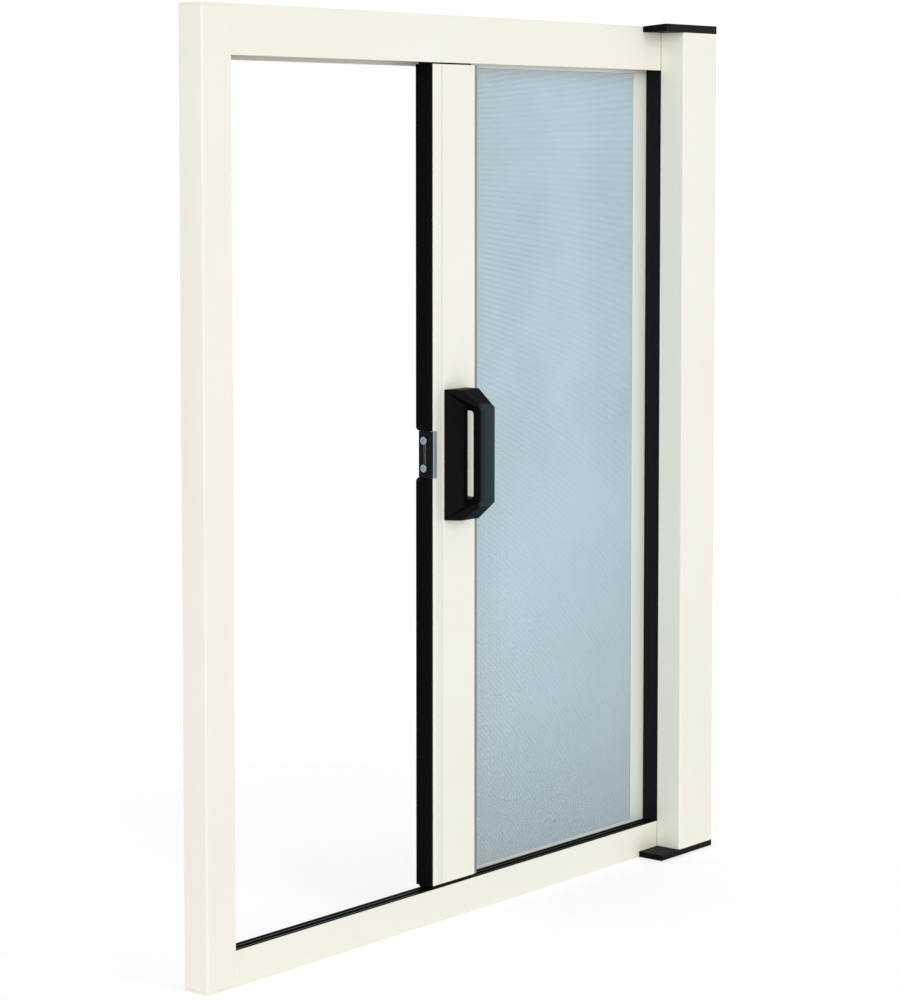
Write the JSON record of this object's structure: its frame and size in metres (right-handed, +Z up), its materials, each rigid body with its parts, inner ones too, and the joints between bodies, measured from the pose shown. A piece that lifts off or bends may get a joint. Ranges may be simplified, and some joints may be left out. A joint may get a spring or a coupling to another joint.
{
  "type": "window screen frame",
  "caption": "Side-rolling insect screen for a small window: aluminium frame, sprung roller in a box cassette, and a handled pull bar that slides across and draws the mesh.",
  "frame": {"origin": "centre of the frame's bottom face, halfway between the front and back of the rails", "axes": "+Z up along the jamb, +X from the jamb to the cassette, -Y towards the room side with the handle"},
  "size_m": [0.616, 0.0536, 0.7218],
  "materials": {
    "cream_coat": "cream-white powder coat on extruded aluminium, satin",
    "cream_plastic": "cream moulded nylon",
    "black_plastic": "black moulded plastic, fine satin grain",
    "black_pvc": "black extruded PVC",
    "grey_pvc": "grey extruded PVC, satin",
    "black_rubber": "black soft extrusion, matt",
    "black_pile": "black woven pile strip",
    "grey_mesh": "blue-grey fine insect mesh, PVC-coated thread",
    "mill_aluminium": "plain extruded aluminium tube",
    "satin_steel": "satin stainless steel sheet",
    "zinc_steel": "bright zinc-plated steel",
    "spring_steel": "oiled spring wire"
  },
  "bodies": {
    "frame": {"left_jamb": "cream_coat", "corner_block_top": "cream_plastic", "corner_block_bottom": "cream_plastic", "corner_screws": "zinc_steel", "head_rail": "cream_coat", "sill_rail": "cream_coat", "head_liner": "black_pvc", "sill_liner": "black_pvc", "closing_strip": "black_rubber", "jamb_catch": "satin_steel", "catch_screws": "zinc_steel", "cassette": "cream_coat", "cassette_cap_top": "black_plastic", "cassette_cap_bottom": "black_plastic", "cap_screws": "zinc_steel", "inlet_strip": "black_rubber", "inlet_pile": "black_pile", "idle_pin": "zinc_steel", "spring_shaft": "zinc_steel", "spring_collar": "black_plastic", "torsion_spring": "spring_steel"},
    "pull_bar": {"bar_profile": "cream_coat", "bar_bead": "grey_pvc", "bar_shoe_top": "black_plastic", "bar_shoe_bottom": "black_plastic", "leading_strip_lower": "black_rubber", "leading_strip_upper": "black_rubber", "latch_plate": "satin_steel", "latch_screws": "zinc_steel", "handle": "black_plastic", "handle_screws": "zinc_steel", "mesh_cord": "black_rubber", "mesh_screen": "grey_mesh"},
    "roller": {"roller_tube": "mill_aluminium", "mesh_roll": "grey_mesh", "roller_plug_top": "black_plastic", "roller_plug_bottom": "black_plastic"}
  },
  "joints": [
    {"name": "bar_slide", "type": "slide", "parent": "frame", "child": "pull_bar", "axis": [1, 0, 0], "range_m": [-0.2247, 0.2505], "deforming": ["mesh_screen"]},
    {"name": "roller_spin", "type": "hinge", "parent": "frame", "child": "roller", "pos_m": [0.285, -0.0108, 0], "axis": [0, 0, 1], "range_deg": [-1040, 925]}
  ],
  "couplings": [
    {"joint": "roller_spin", "follows": "bar_slide", "rad_per_m": -70.422}
  ]
}
